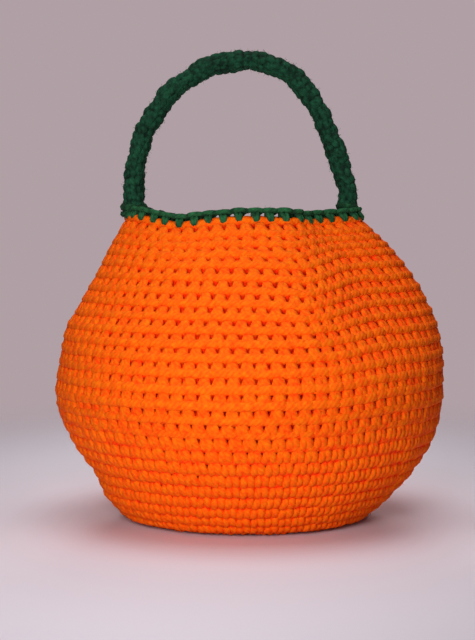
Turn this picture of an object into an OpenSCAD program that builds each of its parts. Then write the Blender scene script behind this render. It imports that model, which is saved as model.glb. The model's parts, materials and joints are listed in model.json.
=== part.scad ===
// Pumpkin treat bag: a round crocheted bag with a green edging round and a sewn-on strap handle.
// Millimetres. Z is up, the front of the bag looks along -Y, the table is at Z = 0.

/* [Body] */
// Radius of the flat bottom circle
base_r = 56; // [50:0.5:62]
// Radius of the widest round
belly_r = 95.5; // [88:0.5:102]
// Height of the widest round above the table
belly_z = 68; // [60:1:76]
// Height of the orange wall, up to the green edging
wall_h = 148; // [138:1:158]
// Thickness of the crocheted fabric
wall_t = 5.5; // [4.5:0.1:6.5]
// How far a round stands out between its two grooves
round_bulge = 0.8; // [0:0.1:1.2]
// Rounds from the bottom circle up to the widest place
low_rounds = 12; // [10:1:14]
// Rounds from the widest place up to the edging
up_rounds = 14; // [12:1:16]
// Even rounds on each side of the widest place
even_rounds = 2; // [1:1:3]

/* [Mouth] */
// Half width of the mouth, between the two ends of the handle
mouth_w = 60; // [54:0.5:66]
// Half depth of the mouth, front to back
mouth_d = 40; // [34:0.5:46]
// Sideways lean of the mouth off the middle
mouth_shift = -4; // [-6:0.5:6]
// Sideways fullness of one shoulder
shoulder_shift = 3.5; // [-5:0.5:5]
// Height of the green edging round
rim_h = 6.5; // [6:0.1:8]
// Thickness of the green edging round
rim_t = 6.5; // [6:0.1:8]

/* [Handle] */
// Rise of the strap's middle line over the line it swings on
handle_rise = 66.5; // [55:0.5:80]
// Sideways place of the strap's highest point
handle_top_x = -2; // [-12:0.5:4]
// Strap width, seen from the front
strap_w = 10.6; // [9:0.1:12]
// Strap depth, front to back
strap_d = 12; // [10:0.5:14]
// Height of one crocheted row of the strap
strap_row = 4.8; // [4:0.1:6]
// How far a row of the strap stands out
row_bulge = 0.4; // [0:0.1:0.8]
// Depth of the groove between the strap's two columns of stitches
strap_groove = 1.2; // [0:0.1:2]
// Inward step of the strap's foot from the middle of the edging
foot_inset = 4.2; // [2:0.1:5]
// Straight length of the strap over the line it swings on
foot_rise = 5; // [4:0.5:8]

/* [Sewing yarn] */
// Radius of the yarn that sews the strap on
yarn_r = 1.5; // [1.2:0.05:1.6]
// Running clearance of that yarn inside the strap
swing_gap = 0.05; // [0.02:0.01:0.1]
// Gap between the strap's foot and what is beside it
foot_gap = 0.3; // [0.25:0.05:0.6]

/* [Hidden] */
sides = 40;
orange = "#e8590c";
green = "#173f2b";
all_rounds = low_rounds + up_rounds;
first_even = low_rounds - even_rounds;
last_even = low_rounds + even_rounds;
rim_z = wall_h + rim_h;
axis_z = rim_z + foot_gap + strap_d / 2;
sew_z = wall_h + rim_h / 2;
rim_lap = (rim_t - wall_t) / 2;
rim_swell = 0.6;
rim_round = 1;
rim_mid = mouth_w - wall_t / 2;
foot_mid = rim_mid - foot_inset;
foot_left = mouth_shift - foot_mid;
foot_right = mouth_shift + foot_mid;
yarn_bend_r = yarn_r + 0.3;
sew_out = max(foot_mid + strap_w / 2, mouth_w + rim_lap + rim_swell) + foot_gap;
sew_in = min(foot_mid - strap_w / 2, mouth_w - wall_t - rim_lap - rim_swell) - foot_gap;
path_z = axis_z + foot_rise;
top_z = axis_z + handle_rise;
left_steps = round(0.97 * (top_z - path_z + handle_top_x - foot_left) * 0.77 / strap_row);
right_steps = round(0.97 * (top_z - path_z + foot_right - handle_top_x) * 0.77 / strap_row);

// Turn of the lower wall from flat (0) to upright (90) at a round number
function low_turn(n) = 90 * pow(n / low_rounds, 0.65);

// Part of the way from the widest place to the edging at a round number
function up_part(n) = pow((n - low_rounds) / up_rounds, 0.93);

// Height of the wall at a round number; from is 0 outside and the fabric's thickness inside
function wall_z(n, from) =
    n <= low_rounds ? from + (belly_z - from) * (1 - cos(low_turn(n)))
                    : belly_z + (wall_h - belly_z) * up_part(n);

// Half width or half depth of the wall at a round number, less the inset
function wall_r(n, mouth, power, inset) =
    n <= low_rounds ? base_r + (belly_r - inset - base_r) * pow(sin(low_turn(n)), 1.8)
                    : belly_r - inset - (belly_r - mouth) * pow(up_part(n), power);

// Sideways shift of the wall at a round number
function wall_x(n) =
    n <= low_rounds ? 0
                    : shoulder_shift * sin(180 * up_part(n)) + mouth_shift * pow(up_part(n), 3);

// An oval ring of points
function oval(x, a, b, z) = [for (i = [0 : sides - 1]) [x + a * cos(360 * i / sides), b * sin(360 * i / sides), z]];

function wall_ring(n, inset, from, swell) =
    oval(wall_x(n), wall_r(n, mouth_w, 2, inset) + swell, wall_r(n, mouth_d, 1.25, inset) + swell, wall_z(n, from));

function outer_ring(n) = wall_ring(n, 0, 0, n == floor(n) ? 0 : round_bulge);

function inner_ring(n) = wall_ring(n, wall_t, wall_t, 0);

function rim_ring(out, z) = oval(mouth_shift, mouth_w + out, mouth_d + out, z);

// A point on a cubic curve
function curve(p, t) = pow(1 - t, 3) * p[0] + 3 * t * pow(1 - t, 2) * p[1] + 3 * t * t * (1 - t) * p[2] + pow(t, 3) * p[3];

function slope(p, t) =
    3 * pow(1 - t, 2) * (p[1] - p[0]) + 6 * t * (1 - t) * (p[2] - p[1]) + 3 * t * t * (p[3] - p[2]);

// The strap's middle line, as [x, z]: up the left leg, over the top, down the right leg
left_curve = [[foot_left, path_z], [foot_left, path_z + 0.46 * handle_rise],
              [foot_left + 0.32 * (handle_top_x - foot_left), top_z], [handle_top_x, top_z]];
right_curve = [[handle_top_x, top_z], [handle_top_x + 0.62 * (foot_right - handle_top_x), top_z],
               [foot_right - 0.25 * (foot_right - handle_top_x), path_z + 0.35 * handle_rise], [foot_right, path_z]];

// Two rounded columns side by side round a point of the middle line, square to the line
function strap_ring(at, way, swell) =
    let (u = way / norm(way), h = strap_w / 2 + swell, d = strap_d / 2 + swell, g = 0.95 - strap_groove / d)
    [for (c = [[1, 0.5], [0.82, 0.86], [0.45, 0.95], [0, g], [-0.45, 0.95], [-0.82, 0.86], [-1, 0.5],
               [-1, -0.5], [-0.82, -0.86], [-0.45, -0.95], [0, -g], [0.45, -0.95], [0.82, -0.86], [1, -0.5]])
        [at[0] + u[1] * h * c[0], d * c[1], at[1] - u[0] * h * c[0]]];

function strap_rings() = concat(
    [strap_ring([foot_left, axis_z], [0, 1], 0)],
    [for (i = [0 : 2 * left_steps])
        let (t = i / (2 * left_steps))
        strap_ring(curve(left_curve, t), slope(left_curve, t), i % 2 == 0 ? 0 : row_bulge)],
    [for (i = [1 : 2 * right_steps])
        let (t = i / (2 * right_steps))
        strap_ring(curve(right_curve, t), slope(right_curve, t), i % 2 == 0 ? 0 : row_bulge)],
    [strap_ring([foot_right, axis_z], [0, -1], 0)]);

// Triangles between two neighbouring rings of m points
function skin(a, b, m) = [for (i = [0 : m - 1])
    each [[a * m + i, a * m + (i + 1) % m, b * m + (i + 1) % m],
          [a * m + i, b * m + (i + 1) % m, b * m + i]]];

// A ring-shaped solid from rings that go up the outside and down the inside
module hoop(rings) {
    count = len(rings);
    polyhedron(
        [for (ring = rings) each ring],
        [for (k = [0 : count - 1]) each [for (f = skin(k, (k + 1) % count, sides)) [f[2], f[1], f[0]]]],
        convexity = 4);
}

// A closed bar from rings along a line
module bar(rings) {
    count = len(rings);
    m = len(rings[0]);
    polyhedron(
        [for (ring = rings) each ring],
        concat(
            [[for (i = [0 : m - 1]) i]],
            [for (k = [0 : count - 2]) each [for (f = skin(k, k + 1, m)) [f[2], f[1], f[0]]]],
            [[for (i = [m - 1 : -1 : 0]) (count - 1) * m + i]]),
        convexity = 6);
}

// A band of rounds of the wall
module wall_band(from, to) {
    hoop(concat([for (n = [from : 0.5 : to]) outer_ring(n)], [for (n = [to : -1 : from]) inner_ring(n)]));
}

// A round hole or pin along X
module along_x(x, z, length, r) {
    translate([x, 0, z])
        rotate([0, 90, 0])
            cylinder(h = length, r = r, center = true, $fn = 48);
}

// A quarter bend of yarn about Y, its middle at [x, z], starting at an angle from +X towards +Z
module yarn_bend(x, z, start) {
    translate([x, 0, z])
        rotate([90, 0, 0])
            rotate([0, 0, start])
                rotate_extrude(angle = 90, $fn = 48)
                    translate([yarn_bend_r, 0])
                        circle(r = yarn_r, $fn = 48);
}

// A straight upright run of yarn
module yarn_leg(x, from, to) {
    translate([x, 0, from])
        cylinder(h = to - from, r = yarn_r, $fn = 48);
}

// One closed loop of yarn through the strap's foot and the edging, straight from x = from to x = to
module sewing_loop(from, to) {
    low = sew_z + yarn_bend_r;
    high = axis_z - yarn_bend_r;
    middle = (from + to) / 2;
    along_x(middle, axis_z, to - from, yarn_r);
    along_x(middle, sew_z, to - from, yarn_r);
    yarn_leg(from - yarn_bend_r, low, high);
    yarn_leg(to + yarn_bend_r, low, high);
    yarn_bend(to, high, 0);
    yarn_bend(from, high, 90);
    yarn_bend(from, low, 180);
    yarn_bend(to, low, 270);
}

module base_circle() {
    color(orange)
        linear_extrude(wall_t)
            polygon([for (p = oval(0, base_r, base_r, 0)) [p[0], p[1]]]);
}

module increase_rounds() {
    color(orange)
        wall_band(0, first_even);
}

module belly_rounds() {
    color(orange)
        wall_band(first_even, last_even);
}

module decrease_rounds() {
    color(orange)
        wall_band(last_even, all_rounds);
}

module rim_edging() {
    color(green)
        difference() {
            hoop([
                rim_ring(rim_lap, wall_h),
                rim_ring(rim_lap + rim_swell, sew_z),
                rim_ring(rim_lap - rim_round, rim_z),
                rim_ring(rim_round - rim_lap - wall_t, rim_z),
                rim_ring(-rim_lap - rim_swell - wall_t, sew_z),
                rim_ring(-rim_lap - wall_t, wall_h)]);
            for (side = [-1, 1])
                along_x(mouth_shift + side * rim_mid, sew_z, 2 * rim_t, yarn_r + swing_gap);
        }
}

module handle_strap() {
    color(green)
        difference() {
            union() {
                bar(strap_rings());
                for (foot = [foot_left, foot_right])
                    along_x(foot, axis_z, strap_w, strap_d / 2);
            }
            for (foot = [foot_left, foot_right])
                along_x(foot, axis_z, 2 * strap_w, yarn_r + swing_gap);
        }
}

module left_sewing_loop() {
    color(green)
        sewing_loop(mouth_shift - sew_out, mouth_shift - sew_in);
}

module right_sewing_loop() {
    color(green)
        sewing_loop(mouth_shift + sew_in, mouth_shift + sew_out);
}

base_circle();
increase_rounds();
belly_rounds();
decrease_rounds();
rim_edging();
handle_strap();
left_sewing_loop();
right_sewing_loop();
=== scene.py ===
# %% [markdown]
# # A crocheted pumpkin treat bag
# The bag is single crochet, worked round and round from the middle of a flat bottom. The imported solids
# fix its sizes and its hinge. This script replaces each soft solid with the yarn itself, stitch by
# stitch.

# %% Load the frame
import json
import math

import bpy
import numpy as np
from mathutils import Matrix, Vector


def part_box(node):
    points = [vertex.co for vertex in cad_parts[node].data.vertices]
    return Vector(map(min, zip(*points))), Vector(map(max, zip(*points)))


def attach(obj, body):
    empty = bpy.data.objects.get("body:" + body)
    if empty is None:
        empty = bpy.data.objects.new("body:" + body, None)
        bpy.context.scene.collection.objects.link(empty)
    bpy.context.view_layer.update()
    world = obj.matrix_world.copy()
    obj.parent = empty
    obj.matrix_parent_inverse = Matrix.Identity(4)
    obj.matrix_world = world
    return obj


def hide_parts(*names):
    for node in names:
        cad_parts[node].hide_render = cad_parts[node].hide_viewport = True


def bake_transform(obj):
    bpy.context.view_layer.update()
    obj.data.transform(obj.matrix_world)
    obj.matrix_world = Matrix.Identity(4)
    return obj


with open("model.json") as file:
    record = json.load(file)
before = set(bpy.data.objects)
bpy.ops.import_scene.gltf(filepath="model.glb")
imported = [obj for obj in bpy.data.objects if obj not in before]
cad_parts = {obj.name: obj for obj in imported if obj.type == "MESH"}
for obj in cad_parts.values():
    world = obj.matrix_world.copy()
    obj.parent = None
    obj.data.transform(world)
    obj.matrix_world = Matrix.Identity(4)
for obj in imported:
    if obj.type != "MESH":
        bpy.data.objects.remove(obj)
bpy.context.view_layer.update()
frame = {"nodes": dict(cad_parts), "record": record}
MM = 0.001
scene = bpy.context.scene
print("nodes:", sorted(frame["nodes"]))

# %% [markdown]
# ## Sizes
# The radius of the bottom and of the belly, the mouth and the height of the edging belong to the solids.
# They could be typed in again, but then two files would have to agree, so they are read from the solids'
# boxes. What is left are the maker's own numbers, such as how many rounds there are.

# %% Read the sizes
BASE_ROUNDS = 8
WALL_ROUNDS = 25
BELLY_Z = 68 * MM
# How far the edging stands out from the wall, and how far the orange fabric reaches up behind it
EDGING_PROUD = 1.1 * MM
ORANGE_BEHIND = 2.2 * MM

base_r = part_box("base_circle")[1].x
belly_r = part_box("belly_rounds")[1].y
rim_low, rim_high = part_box("rim_edging")
wall_top = rim_low.z + ORANGE_BEHIND
rim_top = rim_high.z
mouth_x = (rim_low.x + rim_high.x) / 2
mouth_w = (rim_high.x - rim_low.x) / 2 - EDGING_PROUD
mouth_d = (rim_high.y - rim_low.y) / 2 - EDGING_PROUD
print(f"belly {belly_r / MM:.1f} mm, mouth {mouth_w / MM:.1f} by {mouth_d / MM:.1f} mm, "
      f"edging at {rim_top / MM:.1f} mm")

# %% [markdown]
# ## The smooth form
# The bag is a round bowl that closes in to an oval mouth. One profile spun round an axis would give a
# round mouth, so the half width and the half depth each have a profile of their own, and the middle may
# lean. The length up the wall is measured in the middle of the fabric, because the rounds are spaced
# along it.

# %% Profiles from the bottom's edge to the mouth
PROFILE_STEPS = 60
# How late the bowl widens, and how late the shoulder closes in across and from front to back
BOWL, SHOULDER_ACROSS, SHOULDER_DEEP = 1.8, 2, 1.25
# How far the shoulder leans to the right, and how deep under the outer face the fabric's middle lies
SHOULDER_SHIFT = 3.5 * MM
INSET = 4.52 * MM

lift = np.linspace(0, math.pi / 2, PROFILE_STEPS)
climb = np.linspace(0, 1, PROFILE_STEPS)[1:]
low_r = base_r + (belly_r - base_r) * np.sin(lift) ** BOWL
half_width = np.concatenate([low_r, belly_r - (belly_r - mouth_w) * climb ** SHOULDER_ACROSS])
half_depth = np.concatenate([low_r, belly_r - (belly_r - mouth_d) * climb ** SHOULDER_DEEP])
height = np.concatenate([BELLY_Z * (1 - np.cos(lift)), BELLY_Z + (wall_top - BELLY_Z) * climb])
lean = np.concatenate([0 * lift, SHOULDER_SHIFT * np.sin(math.pi * climb) + mouth_x * climb ** 3])
slope = np.stack([np.gradient(half_depth), np.gradient(height)])
slope /= np.hypot(*slope)
fabric_line = np.stack([half_depth - INSET * slope[1], height + INSET * slope[0]])
wall_run = np.concatenate([[0], np.hypot(*np.diff(fabric_line)).cumsum()])
print(f"wall: {wall_run[-1] / MM:.0f} mm from the bottom's edge to the mouth")

# %% [markdown]
# ## Hand work
# A real bag is never even: it slumps, a crease and a dent run down its shoulder, and its rows rise to
# the right of the crease. Sculpting a mesh could show this, but stitches laid on it later would not know
# where their rows run. So each unevenness is a formula in the turn round the bag, from -90 degrees in
# front to 90 at the back, and in the height.

# %% Humps, ridges and smooth steps
# The first number rounds a ridge's top off, and the second brings it back to height 1
RIDGE_ROUNDING, RIDGE_TOP = 0.02, 0.14


def between(turn, at):
    """The shorter way round from one turn to another."""
    return (turn - at + math.pi) % (2 * math.pi) - math.pi


def hump(turn, at, width):
    """A smooth hump of height 1 round a turn, with the width in degrees."""
    return np.exp(-(between(turn, at) / math.radians(width)) ** 2)


def ridge(turn, at, left_width, right_width):
    """A sharp ridge of height 1 at a turn, with its widths to the left and the right in degrees."""
    off = between(turn, at)
    off = off / np.radians(np.where(off < 0, left_width, right_width))
    return np.exp(RIDGE_TOP - np.sqrt(off ** 2 + RIDGE_ROUNDING))


def ease(value):
    """A smooth step from 0 to 1."""
    value = np.clip(value, 0, 1)
    return value * value * (3 - 2 * value)


print("a step eased at a quarter, a half and three quarters:", ease(np.array([0.25, 0.5, 0.75])))

# %% Bulges at the sides, and rows that are drawn up
# Height in mm, then how far the left and the right side stand out from the smooth form, in mm
BULGES = np.array([
    (0, 5, 0), (9, 3, 1.5), (25, -2.5, 2.5), (40, 0, 3), (57, 1.5, 2), (80, 1, 1),
    (93, 3, 0.5), (111, 0.5, 0), (123, -1.5, 0.5), (135, -1.5, 1), (147, -1.5, 1.5)], float)
BULGE_BLUR = 8
LEFT = math.pi
CREASE_TURN = math.radians(-74.5)
# By how many rounds a row lies higher all the way round, and how many more to the right of the crease
SPACED_ROUNDS, SPACED = (7, 12, 18, 21, 24), (0, -0.33, 0, 0.25, 0)
RISE_ROUNDS, RISE = (4, 9, 13, 16, 21, 25), (0, 0.3, 0.55, 0.8, 0.8, 0)
# The rise starts just past the crease, takes so many radians, and is given back behind the bag
RISE_AFTER, RISE_SPAN = math.radians(1), math.radians(30)
FALL_AFTER, FALL_SPAN = 2.2, 2.2
# On the left a part of the rise is let down, over so many degrees
LEFT_DROP, LEFT_WIDTH = 0.4, 45


def side_bulge(z, column):
    """A column of the bulge table, smoothed over the heights."""
    near = np.exp(-((z[:, None] / MM - BULGES[:, 0]) / BULGE_BLUR) ** 2)
    return (near * BULGES[:, column]).sum(1) / near.sum(1) * MM


def drawn_up(n, turn):
    """By how many rounds a row is drawn up on the right, from the crease on, and let down on the left."""
    past = (turn - CREASE_TURN - RISE_AFTER) % (2 * math.pi)
    right = ease(past / RISE_SPAN) - ease((past - FALL_AFTER) / FALL_SPAN)
    level = np.interp(n, SPACED_ROUNDS, SPACED)
    return level + np.interp(n, RISE_ROUNDS, RISE) * (right - LEFT_DROP * hump(turn, LEFT, LEFT_WIDTH))


RING_POINTS = 240
ring_turns = np.linspace(0, 2 * math.pi, RING_POINTS, endpoint=False)
print(f"round 18 rises and falls by {np.ptp(drawn_up(18, ring_turns)):.2f} of a round")

# %% [markdown]
# ## The outer face
# A round's number n says how far up the fabric it lies: below 0 it is in the flat bottom, 0 is the
# bottom's edge, 25 the mouth and 26 the edging's top. One function gives the outer face at any round and
# turn. A lofted mesh would show the same form, but here every ring of stitches can ask for its own
# place.

# %% The outer face of the bag
# The crease stands out and the dent lies in by so many mm, over so many degrees
CREASE_OUT, CREASE_WIDTH = 4, 14
DENT_TURN, DENT_IN, DENT_WIDTH = math.radians(-44), 8, 23
# On its way up to the mouth the crease drifts to the right
CREASE_DRIFT = math.radians(10)
# How soon above the belly the crease and the dent are full
SHOULDER_SOON = 1.6
# The foot stands out in front, up to a small height
FOOT_OUT, FOOT_HIGH = 4 * MM, 12 * MM
# Rows sag at the crease by so many mm, between two shares of the shoulder's height
SAG, SAG_WIDTHS = 2, (14, 10)
SAG_FROM, SAG_TO, SAG_SPAN = 0.3, 0.7, 0.3
# Where the mouth's edge dips: the turn and the width in degrees, then the depth in mm
MOUTH_DIPS = ((-122, 20, 3.2), (-44, 25, 2), (-90, 45, 1.2), (90, 70, 6))


def outer_face(n, turn):
    """Points on the bag's outer face at round n, for an array of turns."""
    way = np.maximum(0, n + drawn_up(n, turn)) / WALL_ROUNDS * wall_run[-1]
    wide, deep, z, x = (np.interp(way, wall_run, row) for row in (half_width, half_depth, height, lean))
    spread = min(1.0, (n + BASE_ROUNDS) / BASE_ROUNDS)
    part = np.maximum(0, z - BELLY_Z) / (wall_top - BELLY_Z)
    z = z + max(0.0, n - WALL_ROUNDS) * (rim_top - wall_top)
    c, s = np.cos(turn), np.sin(turn)
    crease = CREASE_TURN + CREASE_DRIFT * part ** 4
    shoulder = np.sin(math.pi / 2 * np.minimum(1, part * SHOULDER_SOON)) ** 2
    creased = CREASE_OUT * ridge(turn, crease, CREASE_WIDTH, CREASE_WIDTH)
    out = (creased - DENT_IN * hump(turn, DENT_TURN, DENT_WIDTH)) * shoulder * MM
    out = out + side_bulge(z, 1) * np.clip(-c, 0, 1) ** 2 + side_bulge(z, 2) * np.clip(c, 0, 1) ** 2
    out = out + FOOT_OUT * np.exp(-(z / FOOT_HIGH) ** 2) * np.clip(-s, 0, 1)
    sagging = ease((part - SAG_FROM) / SAG_SPAN) * (1 - ease((part - SAG_TO) / SAG_SPAN))
    sag = -SAG * sagging * ridge(turn, crease, *SAG_WIDTHS)
    dips = sum(depth * hump(turn, math.radians(at), width) for at, width, depth in MOUTH_DIPS)
    sag = sag - dips * part ** 4
    return np.stack([x + spread * (wide + out) * c, spread * (deep + out) * s, z + sag * MM], 1)


belly_across, belly_deep, _ = np.ptp(outer_face(12, ring_turns), axis=0) / MM
print(f"round 12 is {belly_across:.1f} mm wide and {belly_deep:.1f} mm deep")

# %% Rings in the fabric
# Small steps round and up, from which the slope of the face is measured
TURN_STEP, ROUND_STEP = 0.02, 0.15
# Close to the very middle of the bottom, where a ring would have no size
MIDDLE_ROUND = -BASE_ROUNDS + 0.02


def fabric_ring(n, inset):
    """A ring of points in the fabric at round n, set in from its outer face."""
    along = outer_face(n, ring_turns + TURN_STEP) - outer_face(n, ring_turns - TURN_STEP)
    low = max(n - ROUND_STEP, MIDDLE_ROUND)
    up = outer_face(n + ROUND_STEP, ring_turns) - outer_face(low, ring_turns)
    normal = np.cross(along, up)
    normal /= np.linalg.norm(normal, axis=1)[:, None] + 1e-12
    return outer_face(n, ring_turns) - inset * normal


def ring_length(points):
    """The way once round a ring of points."""
    return np.linalg.norm(points - np.roll(points, 1, 0), axis=1).sum()


print(f"mouth: {ring_length(fabric_ring(WALL_ROUNDS, 0)) / MM:.0f} mm round")

# %% [markdown]
# ## One stitch
# Single crochet is a loop drawn up through the top of the stitch below, then closed by a chain link.
# Seen from outside it is a V that comes out under the link below and ends under its own link. A bump
# picture could hint at it, but the photo shows gaps right through the fabric, so the yarn itself is
# laid. Its path is a few points in stitch units: x along the round, y up, z outwards.

# %% The path of the yarn through one stitch
# Each table goes over the link's front, its back, the stem behind, the V in front and up to the next link.
# On the shoulder the stitch is open: a narrow V with gaps beside it
OPEN_STITCH = np.array([
    (0.00, 1.04, 0.32), (0.24, 1.05, 0.43), (0.74, 1.06, 0.44), (0.97, 1.05, 0.35),
    (1.09, 1.02, 0.00), (0.84, 1.00, -0.26), (0.50, 0.96, -0.34),
    (0.34, 0.62, -0.34), (0.30, 0.24, -0.34), (0.26, -0.06, -0.20),
    (0.25, -0.02, 0.18), (0.26, 0.08, 0.36), (0.31, 0.22, 0.40), (0.40, 0.38, 0.40),
    (0.44, 0.58, 0.39), (0.46, 0.74, 0.33), (0.50, 0.83, 0.27), (0.54, 0.74, 0.33), (0.56, 0.58, 0.39),
    (0.60, 0.38, 0.40), (0.69, 0.22, 0.40), (0.74, 0.08, 0.36), (0.75, -0.02, 0.18),
    (0.74, -0.06, -0.20), (0.72, 0.24, -0.34), (0.76, 0.62, -0.30), (0.90, 0.92, -0.06)])
# On the belly and at the right side the V lies flatter and wider, so that the links stand out as ridges
SIDE_STITCH = np.array([
    (0.00, 1.04, 0.34), (0.24, 1.05, 0.43), (0.74, 1.06, 0.44), (0.97, 1.05, 0.37),
    (1.09, 1.02, 0.01), (0.84, 1.00, -0.26), (0.50, 0.96, -0.34),
    (0.34, 0.62, -0.34), (0.30, 0.24, -0.34), (0.26, -0.06, -0.20),
    (0.26, -0.02, 0.14), (0.26, 0.09, 0.31), (0.30, 0.23, 0.35), (0.37, 0.39, 0.35),
    (0.41, 0.58, 0.34), (0.45, 0.74, 0.29), (0.50, 0.82, 0.25), (0.55, 0.74, 0.29), (0.59, 0.58, 0.34),
    (0.63, 0.39, 0.35), (0.70, 0.23, 0.35), (0.74, 0.09, 0.31), (0.74, -0.02, 0.14),
    (0.74, -0.06, -0.20), (0.72, 0.24, -0.34), (0.76, 0.62, -0.30), (0.90, 0.92, -0.06)])
# Near the bottom the stitches are packed: the V is two full legs and the link sinks between the rounds
PACKED_STITCH = np.array([
    (0.00, 0.95, 0.14), (0.26, 0.97, 0.20), (0.72, 0.99, 0.20), (0.97, 0.96, 0.14),
    (1.07, 0.96, -0.05), (0.84, 0.98, -0.26), (0.50, 0.96, -0.34),
    (0.34, 0.62, -0.34), (0.30, 0.24, -0.34), (0.26, -0.08, -0.20),
    (0.22, -0.02, 0.16), (0.22, 0.14, 0.36), (0.24, 0.38, 0.46), (0.28, 0.58, 0.43),
    (0.33, 0.71, 0.32), (0.40, 0.79, 0.21), (0.50, 0.82, 0.14), (0.61, 0.82, 0.22), (0.69, 0.78, 0.34),
    (0.75, 0.68, 0.43), (0.78, 0.50, 0.46), (0.76, 0.22, 0.36), (0.75, 0.02, 0.16),
    (0.74, -0.08, -0.20), (0.72, 0.24, -0.34), (0.76, 0.62, -0.30), (0.92, 0.88, -0.06)])
# In the edging the V is a tapered tooth in front of the orange links, with open gaps to its neighbours
EDGING_STITCH = np.array([
    (0.00, 0.96, 0.20), (0.28, 1.03, 0.40), (0.72, 1.03, 0.40), (1.00, 0.97, 0.20),
    (1.07, 1.00, -0.06), (0.78, 1.04, -0.28), (0.40, 1.02, -0.32),
    (0.34, 0.74, -0.34), (0.40, 0.48, -0.40), (0.46, 0.30, -0.36),
    (0.49, 0.18, 0.00), (0.49, 0.27, 0.46), (0.45, 0.42, 0.56), (0.39, 0.60, 0.42), (0.32, 0.80, 0.26),
    (0.35, 0.92, 0.10), (0.47, 0.97, 0.02), (0.58, 0.92, 0.10),
    (0.63, 0.80, 0.26), (0.63, 0.60, 0.42), (0.62, 0.42, 0.54), (0.60, 0.27, 0.46), (0.60, 0.18, 0.00),
    (0.60, 0.30, -0.36), (0.62, 0.48, -0.40), (0.70, 0.74, -0.34), (0.88, 0.90, -0.10)])
# Sewing yarn just follows its ring
PLAIN_RUN = np.array([(0.0, 0, 0.2), (0.25, 0, 0.2), (0.5, 0, 0.2), (0.75, 0, 0.2)])
print("knots in a stitch:", *map(len, (OPEN_STITCH, SIDE_STITCH, PACKED_STITCH, EDGING_STITCH)))

# %% Even steps along a stitch
STITCH_STEPS = 32
FINE_STEPS = 12
# How much closer the steps lie where the yarn bends
BEND_SHARE = 0.15


def even_path(knots):
    """Steps along a smooth curve through knots that repeat one stitch further on, closer where it bends."""
    ahead = np.array([1.0, 0, 0])
    before = np.concatenate([knots[-1:] - ahead, knots[:-1]])
    after = np.concatenate([knots[1:], knots[:1] + ahead])
    later = np.concatenate([knots[2:], knots[:2] + ahead])
    a, b, c, d = (points[:, None, :] for points in (before, knots, after, later))
    t = np.linspace(0, 1, FINE_STEPS, endpoint=False)[None, :, None]
    square = (2 * a - 5 * b + 4 * c - d) * t ** 2
    cube = (3 * b - a - 3 * c + d) * t ** 3
    fine = 0.5 * (2 * b + (c - a) * t + square + cube)
    fine = np.concatenate([fine.reshape(-1, 3), knots[:1] + ahead])
    way = np.diff(fine, axis=0)
    size = np.linalg.norm(way, axis=1)
    way /= size[:, None]
    bend = np.arccos(np.clip((way * np.roll(way, 1, 0)).sum(1), -1, 1))
    run = np.concatenate([[0], (size + BEND_SHARE * bend).cumsum()])
    at = np.linspace(0, run[-1], STITCH_STEPS, endpoint=False)
    return np.stack([np.interp(at, run, fine[:, k]) for k in range(3)], 1)


open_steps = np.linalg.norm(np.diff(even_path(OPEN_STITCH), axis=0), axis=1)
print(f"the path of an open stitch is {open_steps.sum():.1f} stitch units long")

# %% [markdown]
# ## Acrylic yarn
# The yarn is worsted acrylic: four soft plies twisted together, spun from matt fibres with a faint
# sheen. Deep in the fabric it looks darker and fuller in colour, because light gets there only past
# other yarn; this shade, and the shade in the grooves between plies, is painted into the colour. A
# picture of yarn would have to be laid out along every strand. Instead the yarn carries its own
# measures, the length along it, the direction round it and how far it shows, and the material is
# worked out from these.

# %% Colours and nodes
def linear(hex_colour):
    """An sRGB hex colour as linear red, green, blue and alpha."""
    parts = [int(hex_colour[k:k + 2], 16) / 255 for k in (1, 3, 5)]
    return [p / 12.92 if p <= 0.04045 else ((p + 0.055) / 1.055) ** 2.4 for p in parts] + [1.0]


def add(tree, kind, inputs=None, **settings):
    """Adds a node, sets its properties, and sets or links its inputs by name or number.
    A node given for an input is linked by the first output that is in use."""
    node = tree.nodes.new(kind)
    for key, value in settings.items():
        setattr(node, key, value)
    for key, value in (inputs or {}).items():
        ready = [s for s in node.inputs if s.enabled]
        socket = ready[key] if isinstance(key, int) else next(s for s in ready if s.name == key)
        if isinstance(value, bpy.types.Node):
            value = next(s for s in value.outputs if s.enabled)
        if isinstance(value, bpy.types.NodeSocket):
            tree.links.new(value, socket)
        else:
            socket.default_value = value
    return node


print("orange in linear light:", [round(p, 3) for p in linear("#FF8404")])

# %% The yarn's material
PLIES = 4
# One turn of the twist, and how far the pattern of fibres is stretched along the yarn
TWIST = 9 * MM
FIBRE_RUN = 24 * MM
FIBRE_SCALE = 4.0
# Spots of the mottling are about 2.4 mm apart
SPOTS_PER_METRE = 420.0
# From hidden to fully shown, in stitch units outwards
HIDDEN, SHOWN = 0.04, 0.39
# Shares of the ply and of how far a strand shows in the painted shade, and the range that goes from dark to
# light
PLY_SHADE, SHOWN_SHADE = 0.15, 0.9
DARK_FROM, LIGHT_FROM = 0.97, 1.97
FIBRE_BUMP = 0.9
BUMP_HEIGHT = 0.3 * MM


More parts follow.
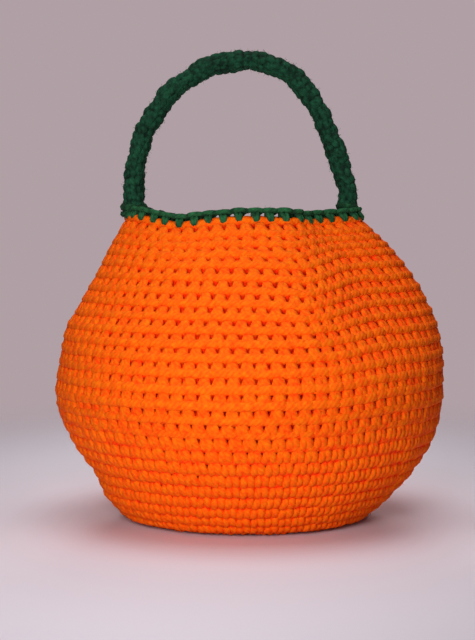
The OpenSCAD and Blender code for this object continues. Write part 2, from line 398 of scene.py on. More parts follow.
def acrylic_yarn(name, dark, light, mottling):
    """Twisted acrylic with painted shade, darker in the grooves between plies and where a strand lies deep;
    fibres roughen the light.
    """
    material = bpy.data.materials.new(name)
    material.use_nodes = True
    tree = material.node_tree
    tree.nodes.clear()
    # The plies wind round the yarn
    along = add(tree, "ShaderNodeAttribute", attribute_name="along").outputs["Fac"]
    around = add(tree, "ShaderNodeAttribute", attribute_name="around").outputs["Vector"]
    side = add(tree, "ShaderNodeSeparateXYZ", {0: around}).outputs
    angle = add(tree, "ShaderNodeMath", {0: side["Y"], 1: side["X"]}, operation="ARCTAN2")
    per_metre = 2 * math.pi / TWIST
    helix = add(tree, "ShaderNodeMath", {0: along, 1: per_metre, 2: angle}, operation="MULTIPLY_ADD")
    plies = add(tree, "ShaderNodeMath", {0: helix, 1: PLIES}, operation="MULTIPLY")
    wave = add(tree, "ShaderNodeMath", {0: plies}, operation="SINE")
    ply = add(tree, "ShaderNodeMapRange", {"Value": wave, "From Min": -1.0, "From Max": 0.6})
    # The fibres follow the twist
    strand = add(tree, "ShaderNodeCombineXYZ", {
        "X": add(tree, "ShaderNodeMath", {0: helix}, operation="COSINE"),
        "Y": add(tree, "ShaderNodeMath", {0: helix}, operation="SINE"),
        "Z": add(tree, "ShaderNodeMath", {0: along, 1: 1 / FIBRE_RUN}, operation="MULTIPLY")})
    fibre = add(tree, "ShaderNodeTexNoise", {"Vector": strand, "Scale": FIBRE_SCALE, "Detail": 3.0})
    # The colour goes by mottling, the yarn's own uneven tone, and by painted shade in the ply grooves and
    # where the strand lies deep
    place = add(tree, "ShaderNodeTexCoord").outputs["Object"]
    spots = add(tree, "ShaderNodeTexNoise", {"Vector": place, "Scale": SPOTS_PER_METRE, "Detail": 2.0})
    mottle = add(tree, "ShaderNodeMapRange", {
        "Value": spots, "To Min": 0.5 - mottling, "To Max": 0.5 + mottling})
    showing = add(tree, "ShaderNodeAttribute", attribute_name="showing").outputs["Fac"]
    proud = add(tree, "ShaderNodeMapRange", {"Value": showing, "From Min": HIDDEN, "From Max": SHOWN})
    ply_shading_and_mottle = add(tree, "ShaderNodeMath", {0: ply, 1: PLY_SHADE, 2: mottle}, operation="MULTIPLY_ADD")
    shade = add(tree, "ShaderNodeMath", {0: proud, 1: SHOWN_SHADE, 2: ply_shading_and_mottle}, operation="MULTIPLY_ADD")
    mottled_shading = add(tree, "ShaderNodeMapRange", {"Value": shade, "From Min": DARK_FROM, "From Max": LIGHT_FROM})
    colour = add(tree, "ShaderNodeMix", {0: mottled_shading, 1: linear(dark), 2: linear(light)}, data_type="RGBA")
    # Plies and fibres raise the surface, and fibres make it matt
    raised = add(tree, "ShaderNodeMath", {0: fibre, 1: FIBRE_BUMP, 2: ply}, operation="MULTIPLY_ADD")
    rough = add(tree, "ShaderNodeMapRange", {"Value": fibre, "To Min": 0.75, "To Max": 0.95})
    relief = add(tree, "ShaderNodeBump", {"Strength": 0.4, "Distance": BUMP_HEIGHT, "Height": raised})
    surface = add(tree, "ShaderNodeBsdfPrincipled", {
        "Base Color": colour, "Roughness": rough, "IOR": 1.49, "Specular IOR Level": 0.12,
        "Normal": relief})
    add(tree, "ShaderNodeOutputMaterial", {0: surface})
    return material


# Warm orange, with painted shade that deepens it to red orange between the stitches
orange_yarn = acrylic_yarn("orange_acrylic_yarn", "#FF3000", "#FF8404", 0.5)
# Dark, strongly mottled green for the strap, with painted shade that darkens it between the stitches
green_yarn = acrylic_yarn("dark_green_acrylic_yarn", "#112B1F", "#1E5439", 1.3)
# The same green with painted light, a shade paler, for the edging and the sewing yarn
edging_yarn_painted_paler = acrylic_yarn("green_acrylic_yarn", "#183824", "#2B6D41", 1.0)
print("materials:", orange_yarn.name, green_yarn.name, edging_yarn_painted_paler.name)

# %% [markdown]
# ## A round of crochet
# Every round repeats the same stitch between the ring below and the ring above it. An array modifier
# could repeat a stitch, but not bend it to rings of different lengths. Geometry Nodes can: the tree
# counts off the steps of all stitches, looks up each step in the stitch's path, bends it between the two
# rings, and sweeps a yarn along the result. A seed moves each stitch a little.

# %% Start, end and run a tree
def start_tree(name, inputs):
    """An empty Geometry Nodes tree with named inputs, and the sockets that give their values."""
    tree = bpy.data.node_groups.new(name, "GeometryNodeTree")
    tree.interface.new_socket("Geometry", in_out="OUTPUT", socket_type="NodeSocketGeometry")
    for label, kind in inputs.items():
        tree.interface.new_socket(label, in_out="INPUT", socket_type="NodeSocket" + kind)
    return tree, add(tree, "NodeGroupInput").outputs


def end_tree(tree, geometry, yarn):
    """Ends a tree in real geometry that wears one yarn."""
    real = add(tree, "GeometryNodeRealizeInstances", {0: geometry})
    dyed = add(tree, "GeometryNodeSetMaterial", {"Geometry": real, "Material": yarn})
    add(tree, "NodeGroupOutput", {0: dyed})
    print(f"tree {tree.name}: {len(tree.nodes)} nodes")


def run_tree(thing, tree, values):
    """Runs a tree on an object and keeps what it makes as the object's plain mesh."""
    modifier = thing.modifiers.new(tree.name, "NODES")
    modifier.node_group = tree
    socket_id = {s.name: s.identifier for s in tree.interface.items_tree if s.in_out == "INPUT"}
    for label, value in values.items():
        modifier[socket_id[label]] = value
    graph = bpy.context.evaluated_depsgraph_get()
    mesh = bpy.data.meshes.new_from_object(thing.evaluated_get(graph))
    thing.modifiers.remove(modifier)
    thing.data = mesh


round_tree, given = start_tree("crochet round", {
    "Ring below": "Object", "Ring above": "Object", "Stitch path": "Object", "Side path": "Object",
    "Side from": "Float", "Side to": "Float", "Stitches": "Int", "Steps": "Int", "Start": "Float",
    "Depth": "Float", "Yarn radius": "Float", "Flatness": "Float", "Unevenness": "Float", "Seed": "Int",
    "Yarn": "Material"})
print(f"tree {round_tree.name}: {len(given) - 1} inputs")

# %% Count off the steps of all stitches
in_round, in_stitch, start_at = given["Stitches"], given["Steps"], given["Start"]
shapes = {
    label: add(round_tree, "GeometryNodeObjectInfo", {"Object": given[label]}).outputs["Geometry"]
    for label in ("Ring below", "Ring above", "Stitch path", "Side path")}
count = add(round_tree, "FunctionNodeIntegerMath", {0: in_round, 1: in_stitch}, operation="MULTIPLY")
line = add(round_tree, "GeometryNodeMeshLine", {"Count": count})
index = add(round_tree, "GeometryNodeInputIndex")
which = add(round_tree, "FunctionNodeIntegerMath", {0: index, 1: in_stitch}, operation="DIVIDE_FLOOR")
step = add(round_tree, "FunctionNodeIntegerMath", {0: index, 1: in_stitch}, operation="MODULO")
print("shapes that the tree reads:", ", ".join(shapes))

# %% Look up each step, and mix in the side's stitch where the ring is far to the right
position = add(round_tree, "GeometryNodeInputPosition")
usual_step, side_step = (
    add(round_tree, "GeometryNodeSampleIndex", {
        "Geometry": shapes[label], "Value": position, "Index": step}, data_type="FLOAT_VECTOR")
    for label in ("Stitch path", "Side path"))
centre = add(round_tree, "ShaderNodeMath", {0: which, 1: 0.5}, operation="ADD")
centre_share = add(round_tree, "ShaderNodeMath", {0: centre, 1: in_round}, operation="DIVIDE")
centre_on = add(round_tree, "ShaderNodeMath", {0: centre_share, 1: start_at}, operation="ADD")
centre_at = add(round_tree, "ShaderNodeMath", {0: centre_on}, operation="FRACT")
found = add(round_tree, "GeometryNodeSampleCurve", {
    "Curves": shapes["Ring below"], "Factor": centre_at}, data_type="FLOAT").outputs["Position"]
found_x = add(round_tree, "ShaderNodeSeparateXYZ", {0: found}).outputs["X"]
aside = add(round_tree, "ShaderNodeMapRange", {
    "Value": found_x, "From Min": given["Side from"], "From Max": given["Side to"]})
place = add(round_tree, "ShaderNodeMix", {0: aside, 1: usual_step, 2: side_step}, data_type="VECTOR")
chance = add(round_tree, "FunctionNodeRandomValue", {
    "Min": (-1, -1, -1), "Max": (1, 1, 1), "ID": which, "Seed": given["Seed"]}, data_type="FLOAT_VECTOR")
stray = add(round_tree, "ShaderNodeVectorMath", {
    0: chance, "Scale": given["Unevenness"]}, operation="SCALE")
strayed = add(round_tree, "ShaderNodeVectorMath", {0: place, 1: stray}, operation="ADD")
print(f"tree {round_tree.name}: {len(round_tree.nodes)} nodes so far")

# %% Bend the steps between the two rings
axes = add(round_tree, "ShaderNodeSeparateXYZ", {0: strayed}).outputs
ahead = add(round_tree, "ShaderNodeMath", {0: which, 1: axes["X"]}, operation="ADD")
step_share = add(round_tree, "ShaderNodeMath", {0: ahead, 1: in_round}, operation="DIVIDE")
step_on = add(round_tree, "ShaderNodeMath", {0: step_share, 1: start_at}, operation="ADD")
step_at = add(round_tree, "ShaderNodeMath", {0: step_on}, operation="FRACT")
below_at, above_at = (
    add(round_tree, "GeometryNodeSampleCurve", {
        "Curves": shapes[label], "Factor": step_at}, data_type="FLOAT").outputs
    for label in ("Ring below", "Ring above"))
rise = add(round_tree, "ShaderNodeVectorMath", {
    0: above_at["Position"], 1: below_at["Position"]}, operation="SUBTRACT")
across = add(round_tree, "ShaderNodeVectorMath", {
    0: below_at["Tangent"], 1: rise}, operation="CROSS_PRODUCT")
out = add(round_tree, "ShaderNodeVectorMath", {0: across}, operation="NORMALIZE")
lifted = add(round_tree, "ShaderNodeVectorMath", {0: rise, "Scale": axes["Y"]}, operation="SCALE")
reach = add(round_tree, "ShaderNodeMath", {0: axes["Z"], 1: given["Depth"]}, operation="MULTIPLY")
pushed = add(round_tree, "ShaderNodeVectorMath", {0: out, "Scale": reach}, operation="SCALE")
raised = add(round_tree, "ShaderNodeVectorMath", {0: below_at["Position"], 1: lifted}, operation="ADD")
final = add(round_tree, "ShaderNodeVectorMath", {0: raised, 1: pushed}, operation="ADD")
bent = add(round_tree, "GeometryNodeSetPosition", {"Geometry": line, "Position": final})
print(f"tree {round_tree.name}: {len(round_tree.nodes)} nodes so far")

# %% Sweep the yarn, which carries its measures with it
YARN_SIDES = 6
for label, value, kind in (
        ("outward", axes["Z"], "FLOAT"),
        ("core", position, "FLOAT_VECTOR"),
        ("facing", out, "FLOAT_VECTOR")):
    bent = add(round_tree, "GeometryNodeStoreNamedAttribute", {
        "Geometry": bent, "Name": label, "Value": value}, data_type=kind, domain="POINT")
curve = add(round_tree, "GeometryNodeMeshToCurve", {0: bent})
closed = add(round_tree, "GeometryNodeSetSplineCyclic", {"Geometry": curve, "Cyclic": True})
length = add(round_tree, "GeometryNodeSplineParameter").outputs["Length"]
marked = add(round_tree, "GeometryNodeStoreNamedAttribute", {
    "Geometry": closed, "Name": "along", "Value": length}, data_type="FLOAT", domain="POINT")
circle = add(round_tree, "GeometryNodeCurvePrimitiveCircle", {
    "Resolution": YARN_SIDES, "Radius": given["Yarn radius"]})
direction = add(round_tree, "ShaderNodeVectorMath", {0: position}, operation="NORMALIZE")
profile = add(round_tree, "GeometryNodeStoreNamedAttribute", {
    "Geometry": circle, "Name": "around", "Value": direction}, data_type="FLOAT_VECTOR", domain="POINT")
swept = add(round_tree, "GeometryNodeCurveToMesh", {"Curve": marked, "Profile Curve": profile})
print(f"tree {round_tree.name}: {len(round_tree.nodes)} nodes so far")

# %% Press the yarn flat, and mark how far it shows
# As the yarn is pressed flat it also swells, by this share
SWELL = 0.4
core, facing = (
    add(round_tree, "GeometryNodeInputNamedAttribute", {"Name": label}, data_type="FLOAT_VECTOR")
    for label in ("core", "facing"))
spoke = add(round_tree, "ShaderNodeVectorMath", {0: position, 1: core}, operation="SUBTRACT")
proud = add(round_tree, "ShaderNodeVectorMath", {0: spoke, 1: facing}, operation="DOT_PRODUCT")
less = add(round_tree, "ShaderNodeMath", {0: proud, 1: given["Flatness"]}, operation="MULTIPLY")
press = add(round_tree, "ShaderNodeVectorMath", {0: facing, "Scale": less}, operation="SCALE")
swell = add(round_tree, "ShaderNodeVectorMath", {0: spoke, "Scale": given["Flatness"]}, operation="SCALE")
wider = add(round_tree, "ShaderNodeVectorMath", {0: swell, 1: (SWELL, SWELL, SWELL)}, operation="MULTIPLY")
shift = add(round_tree, "ShaderNodeVectorMath", {0: wider, 1: press}, operation="SUBTRACT")
flat = add(round_tree, "GeometryNodeSetPosition", {"Geometry": swept, "Offset": shift})
# The painted shade goes by how far a strand shows. The inner side of a strand is seen from inside the bag,
# so there depth inwards counts as showing too
outward = add(round_tree, "GeometryNodeInputNamedAttribute", {"Name": "outward"}, data_type="FLOAT")
inside = add(round_tree, "FunctionNodeCompare", {
    0: proud, 1: 0.0}, operation="LESS_THAN", data_type="FLOAT")
either = add(round_tree, "ShaderNodeMath", {0: outward}, operation="ABSOLUTE")
showing = add(round_tree, "GeometryNodeSwitch", {0: inside, 1: outward, 2: either}, input_type="FLOAT")
finished = add(round_tree, "GeometryNodeStoreNamedAttribute", {
    "Geometry": flat, "Name": "showing", "Value": showing}, data_type="FLOAT", domain="POINT")
for label in ("core", "facing"):
    finished = add(round_tree, "GeometryNodeRemoveAttribute", {"Geometry": finished, "Name": label})
end_tree(round_tree, finished, given["Yarn"])

# %% [markdown]
# ## Fuzz
# Acrylic yarn is never smooth: fibre ends stand out of it as a thin haze that softens every outline.
# Hair particles could draw them, but they are not mesh. A second tree scatters short closed slivers over
# the outer side of the yarn and tilts each one at random. It leaves out the bag's underside, so that
# nothing reaches below the table.

# %% Where fibres grow
# Fibres grow where the yarn lies further out than this, in stitch units
OUTER_SIDE = 0.15
fuzz_tree, given = start_tree("yarn fuzz", {
    "Yarn mesh": "Geometry", "Fibres per area": "Float", "Fibre length": "Float", "Fibre radius": "Float",
    "Lowest": "Float", "Seed": "Int", "Yarn": "Material"})
outward = add(fuzz_tree, "GeometryNodeInputNamedAttribute", {"Name": "outward"}, data_type="FLOAT")
outer = add(fuzz_tree, "FunctionNodeCompare", {
    0: outward, 1: OUTER_SIDE}, operation="GREATER_THAN", data_type="FLOAT")
position = add(fuzz_tree, "GeometryNodeInputPosition")
level = add(fuzz_tree, "ShaderNodeSeparateXYZ", {0: position}).outputs["Z"]
high = add(fuzz_tree, "FunctionNodeCompare", {
    0: level, 1: given["Lowest"]}, operation="GREATER_THAN", data_type="FLOAT")
fuzzy = add(fuzz_tree, "FunctionNodeBooleanMath", {0: outer, 1: high}, operation="AND")
roots = add(fuzz_tree, "GeometryNodeDistributePointsOnFaces", {
    "Mesh": given["Yarn mesh"], "Selection": fuzzy, "Density": given["Fibres per area"],
    "Seed": given["Seed"]}).outputs
print(f"tree {fuzz_tree.name}: {len(fuzz_tree.nodes)} nodes so far")

# %% The fibres themselves
# How far a fibre may be tilted and spun, in radians, and how long it may be, as shares of the fibre length
FIBRE_TILT, FIBRE_SPIN = 1.2, 3.1
SHORTEST, LONGEST = 0.4, 1.2
# A fibre starts inside the yarn and bends over at its end
hair = add(fuzz_tree, "GeometryNodeCurveQuadraticBezier", {
    "Resolution": 2, "Start": (0, 0, -0.1), "Middle": (0, 0, 0.5), "End": (0.6, 0, 0.7)})
slim = add(fuzz_tree, "ShaderNodeMath", {
    0: given["Fibre radius"], 1: given["Fibre length"]}, operation="DIVIDE")
wire = add(fuzz_tree, "GeometryNodeCurvePrimitiveCircle", {"Resolution": 3, "Radius": slim})
sliver = add(fuzz_tree, "GeometryNodeCurveToMesh", {
    "Curve": hair, "Profile Curve": wire, "Fill Caps": True})
tilt = add(fuzz_tree, "FunctionNodeRandomValue", {
    "Min": (-FIBRE_TILT, -FIBRE_TILT, -FIBRE_SPIN), "Max": (FIBRE_TILT, FIBRE_TILT, FIBRE_SPIN),
    "Seed": given["Seed"]}, data_type="FLOAT_VECTOR")
tilted = add(fuzz_tree, "FunctionNodeRotateRotation", {
    "Rotation": roots["Rotation"], "Rotate By": tilt}, rotation_space="LOCAL")
size = add(fuzz_tree, "FunctionNodeRandomValue", {
    "Min": SHORTEST, "Max": LONGEST, "Seed": given["Seed"]}, data_type="FLOAT")
full_size = add(fuzz_tree, "ShaderNodeMath", {0: size, 1: given["Fibre length"]}, operation="MULTIPLY")
fibres = add(fuzz_tree, "GeometryNodeInstanceOnPoints", {
    "Points": roots["Points"], "Instance": sliver, "Rotation": tilted, "Scale": full_size})
joined = add(fuzz_tree, "GeometryNodeJoinGeometry", {0: fibres})
fuzz_tree.links.new(given["Yarn mesh"], joined.inputs[0])
end_tree(fuzz_tree, joined, given["Yarn"])

# %% [markdown]
# ## From rings to rounds
# A maker works one round on top of the other. Each round here is a run of the tree between two rings,
# which are thrown away after it. All rounds of a piece could be one long tree, but one round at a time
# keeps the tree small and lets every round have its own stitch.

# %% Crochet one round
# The side's stitch comes in between these places to the right of the middle
SIDE_FROM, SIDE_TO = 24 * MM, 46 * MM


def put_in_scene(name, data):
    """A new object in the scene."""
    thing = bpy.data.objects.new(name, data)
    scene.collection.objects.link(thing)
    return thing


def stitch_object(knots):
    """A stitch's path as a row of points that the tree can read."""
    mesh = bpy.data.meshes.new("stitch_path")
    mesh.from_pydata([tuple(p) for p in even_path(knots)], [], [])
    return put_in_scene("stitch_path", mesh)


def ring_curve(points):
    """A closed curve through a ring of points."""
    data = bpy.data.curves.new("ring", "CURVE")
    data.dimensions = "3D"
    spline = data.splines.new("POLY")
    spline.points.add(len(points) - 1)
    spline.points.foreach_set("co", np.c_[points, np.ones(len(points))].ravel())
    spline.use_cyclic_u = True
    return put_in_scene("ring", data)


def crochet_round(
        knots, below, above, stitches, start, depth, radius, yarn, seed, unevenness, flatness=0.0):
    """One round of stitches between two rings of points. Second knots, if any, are for the right side."""
    helpers = [ring_curve(below), ring_curve(above), *map(stitch_object, knots)]
    work = put_in_scene("round", bpy.data.meshes.new("round"))
    run_tree(work, round_tree, {
        "Ring below": helpers[0], "Ring above": helpers[1],
        "Stitch path": helpers[2], "Side path": helpers[-1], "Side from": SIDE_FROM, "Side to": SIDE_TO,
        "Stitches": stitches, "Steps": STITCH_STEPS, "Start": start, "Depth": depth, "Yarn radius": radius,
        "Flatness": flatness, "Unevenness": unevenness, "Seed": seed, "Yarn": yarn})
    for helper in helpers:
        bpy.data.objects.remove(helper)
    return work


print(f"the side's stitch comes in from {SIDE_FROM / MM:.0f} to {SIDE_TO / MM:.0f} mm right of the middle")

# %% Join rounds into a piece
FIBRE_LENGTH = 1.8 * MM
FUZZ_LOWEST = 4 * MM


def join_rounds(name, rounds, yarn, fibres, thick, seed):
    """Rounds joined into one smooth piece, with so many fibres per square mm, so many mm thick."""
    piece = rounds[0]
    if len(rounds) > 1:
        with bpy.context.temp_override(
                active_object=piece, object=piece,
                selected_objects=rounds, selected_editable_objects=rounds):
            bpy.ops.object.join()
    piece.name = name
    piece.data.polygons.foreach_set("use_smooth", [True] * len(piece.data.polygons))
    run_tree(piece, fuzz_tree, {
        "Fibres per area": fibres / MM ** 2, "Fibre length": FIBRE_LENGTH, "Fibre radius": thick / 2 * MM,
        "Lowest": FUZZ_LOWEST, "Seed": seed, "Yarn": yarn})
    piece.data.name = name
    print(f"{name}: {len(piece.data.polygons)} faces")
    return piece


print(f"fibres are {FIBRE_LENGTH / MM:.1f} mm long and grow from {FUZZ_LOWEST / MM:.0f} mm above the table")

# %% [markdown]
# ## The orange bag
# On the real bag the rounds follow each other in one spiral. Here each one is closed, and starts a
# little further round than the one below it. The increases and decreases could be counted off the photo,
# but only the front shows. The number of stitches in a round is its length over the width of a stitch
# instead, which gives them by itself. Low rounds are packed, rounds on the belly are ridged, and rounds
# on the shoulder are open and a little slack.

# %% The stitch of each round
PACKED_ROUNDS = (5, 9.5)
RIDGED_ROUNDS, RIDGED = (7, 9, 14, 18), (0, 0.65, 0.65, 0)
SIDE_ROUNDS = (9, 12)


def packed_at(n):
    """How packed round n is, from 1 at the bottom to 0."""
    return np.interp(n, PACKED_ROUNDS, (1, 0))


def stitches_at(n):
    """The knots of round n's usual stitch and of its stitch at the right side."""
    packed = packed_at(n)
    ridged = np.interp(n, RIDGED_ROUNDS, RIDGED)
    aside = np.interp(n, SIDE_ROUNDS, (0, 1))
    loose = ridged * SIDE_STITCH + (1 - ridged) * OPEN_STITCH
    usual = packed * PACKED_STITCH + (1 - packed) * loose
    return usual, aside * SIDE_STITCH + (1 - aside) * usual


print("packed share:", ", ".join(f"{packed_at(n):.2f} in round {n}" for n in (5, 7, 9)))

# %% Crochet the orange rounds
STITCH_W = 6.5 * MM
FEWEST_STITCHES = 6
FABRIC_DEPTH = 5.8 * MM
YARN_R = 2.0 * MM
# The yarn is thinner where it is packed or slack, and fuller on the belly, where slack is below 0
PACKED_THIN, SLACK_THIN = 0.08, 0.06
SLACK_ROUNDS, SLACK = (8, 10, 12, 15, 20, 24), (0, -0.6, -0.6, 1, 1, 0)
# How far the yarn is pressed flat, and how much less where it is packed
FLATNESS, PACKED_ROUNDER = 0.45, 0.15
# Each round leans by this share of a stitch, where it is not packed
LEAN = 0.43
FIRST_RING = -BASE_ROUNDS + 0.15
# The piece, the solid that it replaces, its first round and the round that it stops before
PIECES = [
    ("base_stitches", "base_circle", -BASE_ROUNDS, 0),
    ("lower_increase_stitches", "increase_rounds", 0, 6),
    ("upper_increase_stitches", "increase_rounds", 6, 10),
    ("belly_stitches", "belly_rounds", 10, 14),
    ("lower_decrease_stitches", "decrease_rounds", 14, 19),
    ("upper_decrease_stitches", "decrease_rounds", 19, 25)]

start = 0.0
made = []
counts = []
for name, node, first, last in PIECES:
    rounds = []
    for n in range(first, last):
        below, above = fabric_ring(max(n, FIRST_RING), INSET), fabric_ring(n + 1, INSET)
        stitches = max(FEWEST_STITCHES, round(ring_length(above) / STITCH_W))
        packed = packed_at(n)
        slack = np.interp(n, SLACK_ROUNDS, SLACK)
        rounds.append(crochet_round(
            stitches_at(n), below, above, stitches=stitches, start=start, depth=FABRIC_DEPTH,
            radius=YARN_R * (1 - PACKED_THIN * packed - SLACK_THIN * slack), yarn=orange_yarn,
            seed=40 + n, unevenness=0.04, flatness=FLATNESS - PACKED_ROUNDER * packed))
        start += LEAN * (1 - packed) / stitches
        counts.append(stitches)
    piece = join_rounds(name, rounds, orange_yarn, fibres=0.012, thick=0.06, seed=500 + first)
    made.append((piece, node))

for piece, node in made:
    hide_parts(node)
    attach(piece, "bag")
print("stitches in each round:", *counts)

# %% [markdown]
# ## The green edging
# One round of single crochet in green finishes the mouth. It could be a green ring, but the photo shows
# its chain, its teeth and the backdrop between them, so it is crocheted like the rest, in thinner yarn.

# %% Crochet the edging
EDGING_YARN_R = 1.2 * MM
EDGING_STITCH_W = 7.2 * MM
below, above = fabric_ring(WALL_ROUNDS, INSET), fabric_ring(WALL_ROUNDS + 1, INSET)
edging_count = round(ring_length(above) / EDGING_STITCH_W)
edging_round = crochet_round(
    [EDGING_STITCH], below, above, stitches=edging_count, start=start, depth=FABRIC_DEPTH,
    radius=EDGING_YARN_R, yarn=edging_yarn_painted_paler, seed=90, unevenness=0.07)
edging = join_rounds("edging_stitches", [edging_round], edging_yarn_painted_paler, fibres=0.08, thick=0.08, seed=530)
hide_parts("rim_edging")
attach(edging, "bag")
print("edging:", edging_count, "stitches")

# %% [markdown]
# ## The strap
# The handle is a narrow tube of crochet, worked in very small rounds and pressed a little flat. A bent
# bar with a bump would look like a hose from the side. So its middle line is two curves, from the left
# foot up to the top and down to the right foot, and the same tree works small rounds along it.

# %% The strap's middle line
STRAP_W = 10.6 * MM
# From front to back the strap is this much slimmer than its solid
STRAP_SLIMMER = 0.2 * MM
STRAP_ROW = 3.8 * MM
LEG_STEPS = 200
TOP_X = -2 * MM
# The curves start this far above the hinge's axis
CURVE_UP = 5 * MM
# Shares of its rise and width by which each curve is pulled up at its foot and level at its top, and the
# right one also in at its foot
LEFT_UP, LEFT_LEVEL = 0.43, 0.38
RIGHT_UP, RIGHT_LEVEL, RIGHT_IN = 0.40, 0.66, 0.20

strap_low, strap_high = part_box("handle_strap")
axis_z = frame["record"]["behaviour"]["joints"][0]["pos_m"][2]
strap_d = strap_high.y - strap_low.y - STRAP_SLIMMER
foot_left = strap_low.x + STRAP_W / 2
foot_right = strap_high.x - STRAP_W / 2
top_z = strap_high.z - STRAP_W / 2
foot_z = axis_z + CURVE_UP
rise_z = top_z - axis_z


def leg(a, b, c, d):
    """Points from a to d, each an x and a z, on a curve that is pulled towards b and c."""
    a, b, c, d = map(np.array, (a, b, c, d))
    t = np.linspace(0, 1, LEG_STEPS)[:, None]
    return (1 - t) ** 3 * a + 3 * t * (1 - t) ** 2 * b + 3 * t ** 2 * (1 - t) * c + t ** 3 * d


left_leg = leg(
    (foot_left, foot_z), (foot_left, foot_z + LEFT_UP * rise_z),
    (foot_left + LEFT_LEVEL * (TOP_X - foot_left), top_z), (TOP_X, top_z))
right_leg = leg(
    (TOP_X, top_z), (TOP_X + RIGHT_LEVEL * (foot_right - TOP_X), top_z),
    (foot_right - RIGHT_IN * (foot_right - TOP_X), foot_z + RIGHT_UP * rise_z), (foot_right, foot_z))
middle = np.concatenate([[(foot_left, rim_top)], left_leg, right_leg[1:], [(foot_right, rim_top)]])
strap_run = np.concatenate([[0], np.linalg.norm(np.diff(middle, axis=0), axis=1).cumsum()])
rows = round(strap_run[-1] / STRAP_ROW)
print(f"strap: {strap_run[-1] / MM:.0f} mm long, {rows} rows")

# %% Rings round the strap
strap_turns = np.linspace(0, 2 * math.pi, 48, endpoint=False)
# The strap swells and sways a little: waves along the strap, where the first starts, and how strong it is
SWELLS = ((5, 0, 0.05), (13, 1, 0.04))
SWAY_WAVES, SWAY = 9, 0.4 * MM


def strap_ring(row, inset):
    """A ring round the strap's middle line at a row."""
    before, here, after = (
        np.array([np.interp(strap_run[-1] * row / rows + d, strap_run, middle[:, k]) for k in (0, 1)])
        for d in (-MM, 0, MM))
    way = (after - before) / np.linalg.norm(after - before)
    side = np.array([way[1], -way[0]])
    turned = 2 * math.pi * row / rows
    swell = 1 + sum(strength * math.sin(waves * turned + first) for waves, first, strength in SWELLS)
    x, z = here + SWAY * math.sin(SWAY_WAVES * turned) * side
    wide = (STRAP_W / 2 * swell - inset) * np.cos(strap_turns)
    deep = (strap_d / 2 - inset) * np.sin(strap_turns)
    return np.stack([x + side[0] * wide, deep, z + side[1] * wide], 1)


print(f"strap's middle row: {ring_length(strap_ring(rows // 2, 0)) / MM:.0f} mm round")

# %% Crochet the strap
STRAP_INSET, STRAP_DEPTH = 3.0 * MM, 3.4 * MM
STRAP_YARN_R = 1.75 * MM
STRAP_ROW_STITCHES = 5
rounds = []
for row in range(rows):
    rounds.append(crochet_round(
        [PACKED_STITCH], strap_ring(row, STRAP_INSET), strap_ring(row + 1, STRAP_INSET),
        stitches=STRAP_ROW_STITCHES, start=0.0, depth=STRAP_DEPTH, radius=STRAP_YARN_R, yarn=green_yarn,
        seed=200 + row, unevenness=0.16, flatness=0.35))
strap = join_rounds("strap_stitches", rounds, green_yarn, fibres=0.12, thick=0.1, seed=540)
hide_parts("handle_strap")
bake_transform(strap)

# %% [markdown]
# ## Sewing yarn
# A few turns of green yarn sew each end of the strap to the edging. A knot could be modelled, but the
# photo shows only a bulge and a crossing. So plain turns lie close together, each one tilted a little,
# and hold the strap's last row down on the chain.

# %% Sew the strap's ends
SEWING_YARN_R = 1.6 * MM
SEWING_DEEP = 5.2 * MM
# How far a turn is tilted, and how far the tilt goes round from one turn to the next, in radians
SEWING_TILT, TILT_ROUND = 0.9 * MM, 2.3
loop_turns = np.linspace(0, 2 * math.pi, 32, endpoint=False)
# The node it replaces, the strap's foot, then half the turns' width and their heights over the edging in mm
SEWN = [
    ("left_sewing_loop", foot_left, 5.2, (-2.0, -0.4, 0.6)),
    ("right_sewing_loop", foot_right, 4.2, (-1.0, 0.4))]
for node, foot, half, heights in SEWN:
    turns = []
    for k, level in enumerate(heights):
        ring_z = rim_top + level * MM + SEWING_TILT * np.cos(loop_turns + TILT_ROUND * k)
        ring = np.stack([
            foot + half * MM * np.cos(loop_turns), SEWING_DEEP * np.sin(loop_turns), ring_z], 1)
        turns.append(crochet_round(
            [PLAIN_RUN], ring, ring + (0, 0, MM), stitches=1, start=0.0, depth=MM, radius=SEWING_YARN_R,
            yarn=edging_yarn_painted_paler, seed=300 + k, unevenness=0.0))
    name = node.replace("loop", "stitches")
    sewn = join_rounds(name, turns, edging_yarn_painted_paler, fibres=0.12, thick=0.1, seed=550)
    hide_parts(node)
    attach(sewn, "bag")

# %% [markdown]
# ## Floor and backdrop
# The photo's backdrop is one pale grey that runs on under the bag without a line. A curved sheet of
# paper would do that in a studio. Here the floor is a flat sheet that takes the bag's shadow and fades
# out into the world's colour. What the camera sees of the world is pale, and what lights the bag from
# all round is darker.

# %% Floor
FLOOR_HALF = 20
FADE_FROM, FADE_TO = 0.2, 0.55
corners = [(FLOOR_HALF * x, FLOOR_HALF * y, 0) for x, y in ((-1, -1), (1, -1), (1, 1), (-1, 1))]
floor_mesh = bpy.data.meshes.new("floor")
floor_mesh.from_pydata(corners, [], [(0, 1, 2, 3)])
floor = put_in_scene("floor", floor_mesh)
# Matt pale paper, which takes a soft shadow and no shine
paper = bpy.data.materials.new("pale_paper")
paper.use_nodes = True
sheet = paper.node_tree
matt = sheet.nodes["Principled BSDF"]
matt.inputs["Base Color"].default_value = linear("#E4DCE6")
matt.inputs["Roughness"].default_value = 0.9
spot = add(sheet, "ShaderNodeTexCoord").outputs["Object"]
away = add(sheet, "ShaderNodeVectorMath", {0: spot}, operation="LENGTH")
fade = add(sheet, "ShaderNodeMapRange", {
    "Value": away, "From Min": FADE_FROM, "From Max": FADE_TO}, interpolation_type="SMOOTHSTEP")
clear = add(sheet, "ShaderNodeBsdfTransparent")
faded = add(sheet, "ShaderNodeMixShader", {0: fade, 1: matt, 2: clear})
sheet.links.new(faded.outputs[0], sheet.nodes["Material Output"].inputs["Surface"])
floor_mesh.materials.append(paper)
print(f"floor fades out between {FADE_FROM:.2f} and {FADE_TO:.2f} m from the bag's middle")

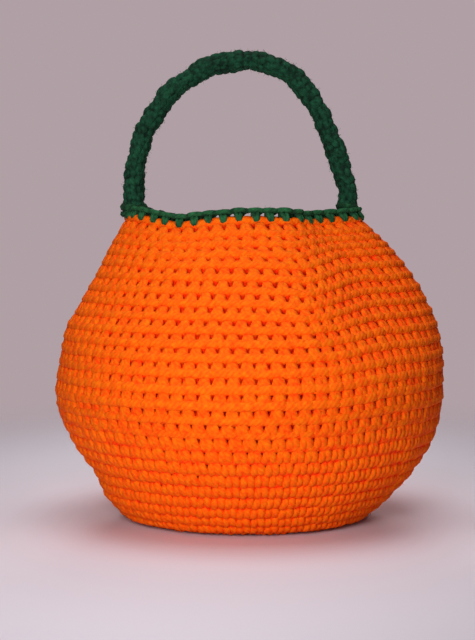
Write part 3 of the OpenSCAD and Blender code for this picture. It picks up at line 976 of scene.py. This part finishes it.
# %% Backdrop
BACKDROP, ROOM = "#B0A0A5", "#3F3C3E"
world = bpy.data.worlds.new("studio")
scene.world = world
world.use_nodes = True
sky = world.node_tree
rays = add(sky, "ShaderNodeLightPath").outputs
direct = add(sky, "ShaderNodeMath", {
    0: rays["Is Camera Ray"], 1: rays["Is Glossy Ray"]}, operation="MAXIMUM")
seen = add(sky, "ShaderNodeMath", {0: direct, 1: rays["Is Transmission Ray"]}, operation="MAXIMUM")
tone = add(sky, "ShaderNodeMix", {0: seen, 1: linear(ROOM), 2: linear(BACKDROP)}, data_type="RGBA")
sky.links.new(tone.outputs[2], sky.nodes["Background"].inputs["Color"])
print("backdrop:", BACKDROP, "and the room round it:", ROOM)

# %% [markdown]
# ## Light and camera
# The photo is lit softly from above, with some light on the front from a little to the left. A sun lamp
# would throw hard shadows, so three square soft lamps are used: a large one on top, a small one in front
# and a small one behind. The camera stands at the height of the mouth and looks a little down.

# %% Light
def softbox(name, place, aim, size, spread, power):
    """A square soft lamp at a place, turned towards a point, that lights a cone of so many degrees."""
    light = bpy.data.lights.new(name, "AREA")
    light.energy = power
    light.size = size
    light.spread = math.radians(spread)
    lamp = put_in_scene(name, light)
    lamp.location = place
    lamp.visible_camera = False
    lamp.rotation_euler = (Vector(aim) - Vector(place)).to_track_quat("-Z", "Y").to_euler()
    print(f"lamp {name}: {power} W, {size} m wide")


softbox("key", place=(-0.09, -0.50, 0.18), aim=(0, 0, 0.10), size=0.2, spread=90, power=0.46)
softbox("back", place=(0, 0.60, 0.14), aim=(0, 0, 0.12), size=0.2, spread=70, power=0.3)
softbox("top", place=(0, 0, 1.3), aim=(0, 0, 0), size=1.0, spread=180, power=8.5)

# %% Camera
# The photo's height and the camera's focal length, both in pixels of the photo
PHOTO_H, PHOTO_FOCUS = 640, 1700
CAMERA_PLACE = (-5.75 * MM, -850 * MM, 152 * MM)
LOOK_DOWN = 3.6
camera = bpy.data.cameras.new("camera")
camera.lens = camera.sensor_width * PHOTO_FOCUS / PHOTO_H
tripod = put_in_scene("camera", camera)
tripod.location = CAMERA_PLACE
tripod.rotation_euler = (math.radians(90 - LOOK_DOWN), 0, 0)
scene.camera = tripod
scene.view_settings.view_transform = "Standard"
print(f"camera: lens {camera.lens:.1f} mm, {-CAMERA_PLACE[1] / MM:.0f} mm in front of the bag's middle")
